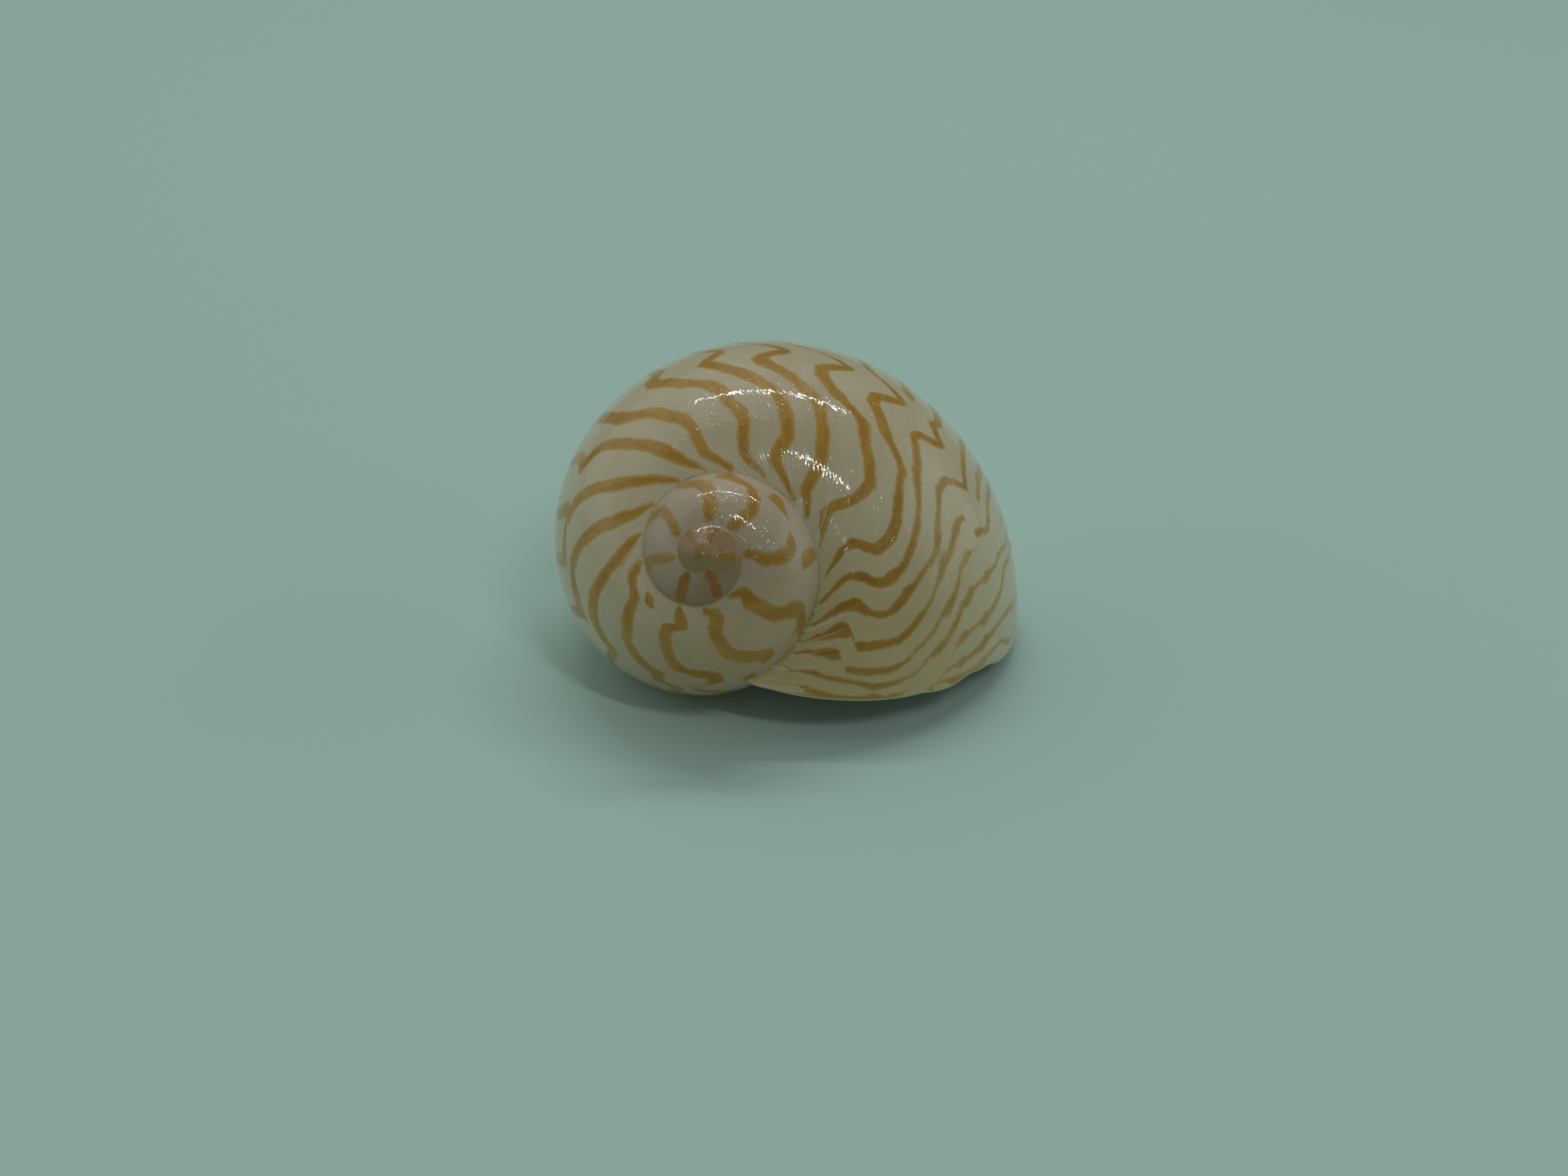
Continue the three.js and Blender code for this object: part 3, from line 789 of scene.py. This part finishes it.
def lip_face(skin, outer, inner, suture_end, umbilicus_end):
    """Edge of the mouth: a half round from the outside to the hollow's skin, on the line between them
    as its diameter, bulging the way the mouth faces. Its two ends are the given vertices of the whorl
    before, and the bulge fades toward them."""
    places = np.concatenate(skin.places)
    start, end = places[outer[-1]], places[inner[-1]]
    middle, reach = (start + end) / 2, (start - end) / 2
    column = np.arange(LAST_COLUMN + 1)
    height = np.minimum(np.linalg.norm(reach, axis=1), LIP_BULGE)
    height *= ease(0, LIP_END_COLUMNS, np.minimum(column, LAST_COLUMN - column))
    way = np.linspace(0, np.pi, LIP_ROWS + 1)[:, None, None]
    rows = middle + reach * np.cos(way) + mouth_normal() * height[:, None] * np.sin(way)
    numbers = skin.vertices(rows)
    numbers[0], numbers[-1] = outer[-1], inner[-1]
    numbers[:, 0], numbers[:, -1] = suture_end, umbilicus_end
    row_step, column_step = LIP_WEAVE_STEPS
    lengths = COIL_LENGTH + np.arange(LIP_ROWS + 1) * row_step
    weave = np.stack(np.meshgrid(lengths, column * column_step, indexing="ij"), -1)
    colour = np.broadcast_to(np.asarray(LIP_EDGE), weave.shape[:2] + (3,))
    skin.patch(numbers, **plain_values(colour, weave))


def resting_frame():
    """Turns the coiling frame so that the edge of the mouth rests on the surface."""
    left, rise, roll = np.radians([SPIRE_LEFT, SPIRE_RISE, SHELL_ROLL])
    side = np.array([np.cos(left), -np.sin(left), 0])
    axis = np.array([-np.sin(left), -np.cos(left), np.tan(rise)])
    axis /= np.linalg.norm(axis)
    turned = np.column_stack([side, np.cross(axis, side), axis])
    about = np.array([[np.cos(roll), -np.sin(roll), 0], [np.sin(roll), np.cos(roll), 0], [0, 0, 1]])
    return turned @ about


def build_shell():
    """Makes the mesh of the skin, standing on the surface with its box centred over the origin. Gives
    back the shell and the place of its coiling apex, in millimetres."""
    skin = shell_skin()
    places = np.concatenate(skin.places) @ resting_frame().T
    used = np.unique(np.concatenate([f.ravel() for f in skin.faces]))
    low, high = places[used].min(0), places[used].max(0)
    apex = -np.array([(low[0] + high[0]) / 2, (low[1] + high[1]) / 2, low[2]])
    renumber = np.zeros(len(places), int)
    renumber[used] = np.arange(len(used))
    faces = [renumber[f] for f in skin.faces]
    mesh = bpy.data.meshes.new("shell_skin")
    mesh.vertices.add(len(used))
    mesh.vertices.foreach_set("co", ((places[used] + apex) * MILLIMETRE).ravel())
    corners = np.concatenate([f.ravel() for f in faces])
    sizes = np.concatenate([np.full(len(f), f.shape[1]) for f in faces])
    mesh.loops.add(len(corners))
    mesh.loops.foreach_set("vertex_index", corners)
    mesh.polygons.add(len(sizes))
    mesh.polygons.foreach_set("loop_start", np.concatenate([[0], np.cumsum(sizes)[:-1]]))
    mesh.update(calc_edges=True)
    mesh.polygons.foreach_set("use_smooth", np.ones(len(sizes), bool))
    for name in NO_LINES:
        values = np.concatenate([v.ravel() for v in skin.corners[name]])
        mesh.attributes.new(name, "FLOAT", "CORNER").data.foreach_set("value", values)
    for name in ("ground", "ink"):
        colours = np.concatenate([v.reshape(-1, 3) for v in skin.corners[name]])
        colours = np.column_stack([colours, np.ones(len(colours))])
        mesh.attributes.new(name, "FLOAT_COLOR", "CORNER").data.foreach_set("color", colours.ravel())
    weave = np.concatenate([v.reshape(-1, 2) for v in skin.corners["weave"]])
    mesh.uv_layers.new(name="weave").data.foreach_set("uv", weave.ravel())
    mesh.set_sharp_from_angle(angle=np.radians(SHARP_DEGREES))
    mesh.validate()
    shell = bpy.data.objects.new("shell_wall", mesh)
    bpy.context.collection.objects.link(shell)
    return shell, apex


class Nodes:
    """Short hand for one material's nodes."""

    def __init__(self, name):
        self.material = bpy.data.materials.new(name)
        self.material.use_nodes = True
        self.tree = self.material.node_tree
        self.shader = self.tree.nodes["Principled BSDF"]

    def add(self, kind, inputs=(), **settings):
        """A new node with its inputs and settings."""
        node = self.tree.nodes.new(kind)
        for key, value in settings.items():
            setattr(node, key, value)
        for key, value in dict(inputs).items():
            self.put(value, node.inputs[key])
        return node

    def put(self, value, socket):
        """Links another node's output to a socket, or sets the socket to a plain value."""
        if isinstance(value, bpy.types.NodeSocket):
            self.tree.links.new(value, socket)
        else:
            socket.default_value = value

    def read(self, name, output="Fac"):
        """Value or colour that the mesh's corners carry under a name."""
        return self.add("ShaderNodeAttribute", attribute_name=name).outputs[output]

    def maths(self, operation, *values):
        """One sum or other operation on values."""
        return self.add("ShaderNodeMath", dict(enumerate(values)), operation=operation).outputs[0]

    def remap(self, value, low, high, to_low=0.0, to_high=1.0):
        """Smooth step between two values as the input goes from low to high."""
        inputs = {"Value": value, "From Min": low, "From Max": high, "To Min": to_low, "To Max": to_high}
        return self.add("ShaderNodeMapRange", inputs, interpolation_type="SMOOTHSTEP").outputs[0]

    def noise(self, vector, scale, detail, roughness=0.5):
        """Cloudy noise, of so many cells to a unit."""
        inputs = {"Vector": vector, "Scale": scale, "Detail": detail, "Roughness": roughness}
        return self.add("ShaderNodeTexNoise", inputs).outputs["Fac"]

    def grain(self, vector, scale, detail, roughness=0.5):
        """Cloudy noise whose cells are stretched, with its own number to a unit each way."""
        stretched = self.add("ShaderNodeMapping", {"Vector": vector, "Scale": scale}).outputs["Vector"]
        return self.noise(stretched, 1.0, detail, roughness)

    def blend(self, share, first, second, mode="MIX"):
        """Blend of two colours by a share."""
        node = self.add("ShaderNodeMix", data_type="RGBA", blend_type=mode)
        for value, socket in ((share, node.inputs[0]), (first, node.inputs[6]), (second, node.inputs[7])):
            self.put(value, socket)
        return node.outputs[2]


def colour4(colour):
    """A colour with its alpha, as sockets take it."""
    return (*colour, 1.0)


def shell_material():
    """Glossy shell: the ground colour carried by the mesh, clouded and banded along the growth lines;
    brown lines where the way to the nearest line is under half its width, their edges a little ragged
    and their middles darker in patches; a brown seam at the suture, and fine painted highlights of the
    wrinkles below it; a fine relief of growth lines, with wrinkles below the suture, mostly in the gloss."""
    n = Nodes("shell_gloss")
    place = n.add("ShaderNodeTexCoord").outputs["Object"]
    weave = n.add("ShaderNodeUVMap", uv_map="weave").outputs["UV"]
    ragged = n.remap(n.noise(place, RAGGED_GRAIN, 4.0, 0.6), 0.25, 0.75, -RAGGED_EDGE, RAGGED_EDGE)
    swell = n.remap(n.noise(place, SWELL_GRAIN, 2.0), 0.3, 0.7, -SWELL_EDGE, SWELL_EDGE)
    uneven = n.maths("ADD", ragged, swell)

    def inside(kind):
        """Millimetres that a place lies inside the edge of a line: half the width less the way to the
        nearest whole count."""
        steps = n.maths("FRACT", n.maths("ADD", n.read(kind + "_count"), 0.5))
        away = n.maths("ABSOLUTE", n.maths("SUBTRACT", steps, 0.5))
        reach = n.maths("MULTIPLY", away, n.read(kind + "_gap"))
        return n.maths("SUBTRACT", n.read(kind + "_half"), n.maths("ADD", reach, uneven))

    edge = n.maths("MAXIMUM", inside(LONG), inside(SHORT))
    line = n.remap(edge, *LINE_SOFTNESS)
    patches = n.remap(n.grain(weave, SHADE_GRAIN, 3.0), 0.3, 0.65, 0.2, 1.0)
    dark = n.maths("MULTIPLY", n.remap(edge, *CORE_SOFTNESS), patches)
    line_colour = n.blend(dark, n.read("ink", "Color"), colour4(LINE_CORE), "MULTIPLY")
    cloud = n.noise(place, CLOUD_GRAIN, 2.0)
    clouded = n.remap(cloud, 0.3, 0.7, 0.0, SHADE_MOST)
    banded = n.remap(n.grain(weave, BAND_GRAIN, 2.0), 0.45, 0.8, 0.0, SHADE_MOST)
    ground = n.blend(clouded, n.read("ground", "Color"), colour4(CLOUD_SHADE), "MULTIPLY")
    ground = n.blend(banded, ground, colour4(BAND_SHADE), "MULTIPLY")
    angle = n.read("angle")
    seam = n.remap(n.maths("ADD", angle, n.maths("MULTIPLY", ragged, SEAM_RAGGED)), *SEAM_ANGLES)
    seam = n.maths("MULTIPLY", seam, n.remap(cloud, 0.35, 0.65, 0.1, 0.6))
    ground = n.blend(seam, ground, colour4(SEAM))
    # Painted highlights: fine pale streaks below the suture, where its wrinkles catch the light
    painted_glints = n.remap(n.grain(weave, GLINT_GRAIN, 2.0, 0.6), 0.55, 0.66)
    length = n.add("ShaderNodeSeparateXYZ", {"Vector": weave}).outputs["X"]
    painted_glints = n.maths("MULTIPLY", painted_glints, n.remap(angle, *GLINT_ANGLES, 0.0, GLINT_MOST))
    painted_glints = n.maths("MULTIPLY", painted_glints, n.remap(length, *GLINT_LENGTHS, GLINT_LEAST_SHARE, 1.0))
    painted = n.blend(n.maths("MULTIPLY", line, LINE_COVER), ground, line_colour)
    n.put(n.blend(painted_glints, painted, colour4(PAINTED_GLINT_WHITE)), n.shader.inputs["Base Color"])

    striae = n.remap(n.grain(weave, STRIAE_GRAIN, 1.0, 0.4), 0.44, 0.56)
    waves = n.grain(weave, WAVE_GRAIN, 0.0)
    striae = n.maths("ADD", striae, n.maths("MULTIPLY", waves, WAVE_SHARE))
    wrinkles = n.grain(weave, WRINKLE_GRAIN, 1.0)
    wrinkles = n.maths("MULTIPLY", wrinkles, n.remap(angle, *WRINKLE_ANGLES, 0.0, WRINKLE_MOST))
    relief = n.maths("ADD", striae, wrinkles)
    for socket, strength in RELIEF_STRENGTHS.items():
        inputs = {"Strength": strength, "Distance": RELIEF_DEPTH, "Height": relief}
        n.put(n.add("ShaderNodeBump", inputs).outputs["Normal"], n.shader.inputs[socket])
    for name, value in GLOSS.items():
        n.shader.inputs[name].default_value = value
    return n.material


def build_floor():
    """Plain pale sheet far wider than the view, under the shell."""
    mesh = bpy.data.meshes.new("floor_sheet")
    corners = [(x * FLOOR_REACH, y * FLOOR_REACH, 0) for x, y in ((-1, -1), (1, -1), (1, 1), (-1, 1))]
    mesh.from_pydata(corners, [], [(0, 1, 2, 3)])
    floor = bpy.data.objects.new("floor_sheet", mesh)
    bpy.context.collection.objects.link(floor)
    n = Nodes("floor_matte")
    n.shader.inputs["Base Color"].default_value = colour4(FLOOR_COLOUR)
    n.shader.inputs["Roughness"].default_value = FLOOR_ROUGHNESS
    mesh.materials.append(n.material)
    return floor


def add_light(name, direction, along, distance, size, power, colour):
    """Flat light that faces the shell from a direction, its long side turned to lie along another."""
    light = bpy.data.lights.new(name, "AREA")
    light.shape = "RECTANGLE"
    light.size, light.size_y = size
    light.energy = power
    light.color = colour
    lamp = bpy.data.objects.new(name, light)
    bpy.context.collection.objects.link(lamp)
    back = Vector(direction).normalized()
    side = Vector(along)
    side = (side - back * side.dot(back)).normalized()
    turned = Matrix((side, back.cross(side), back)).transposed().to_4x4()
    lamp.matrix_world = Matrix.Translation(back * distance + Vector(LIGHTS_FACE)) @ turned


def add_camera(apex):
    """Camera at the photograph's place, measured from the shell's apex, with its level and view."""
    place = (apex + np.array(CAMERA_FROM_APEX)) * MILLIMETRE
    data = bpy.data.cameras.new("view")
    data.sensor_width = SENSOR_WIDTH
    data.lens = LENS
    data.clip_start = NEAREST_SEEN
    camera = bpy.data.objects.new("view", data)
    bpy.context.collection.objects.link(camera)
    turned = Matrix((Vector(CAMERA_RIGHT), Vector(CAMERA_UP), -Vector(CAMERA_FORWARD))).transposed()
    camera.matrix_world = Matrix.Translation(Vector(place)) @ turned.to_4x4()
    bpy.context.scene.camera = camera


def soft_room():
    """Even, slightly warm light from all round."""
    world = bpy.data.worlds.new("soft_room")
    world.use_nodes = True
    background = world.node_tree.nodes["Background"]
    background.inputs["Color"].default_value = colour4(ROOM_COLOUR)
    background.inputs["Strength"].default_value = ROOM_STRENGTH
    bpy.context.scene.world = world


shell, apex = build_shell()
shell.data.materials.append(shell_material())
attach(shell, "root")
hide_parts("shell")

build_floor()
soft_room()
for settings in LIGHTS:
    add_light(*settings)
add_camera(apex)
bpy.context.scene.view_settings.view_transform = "Standard"
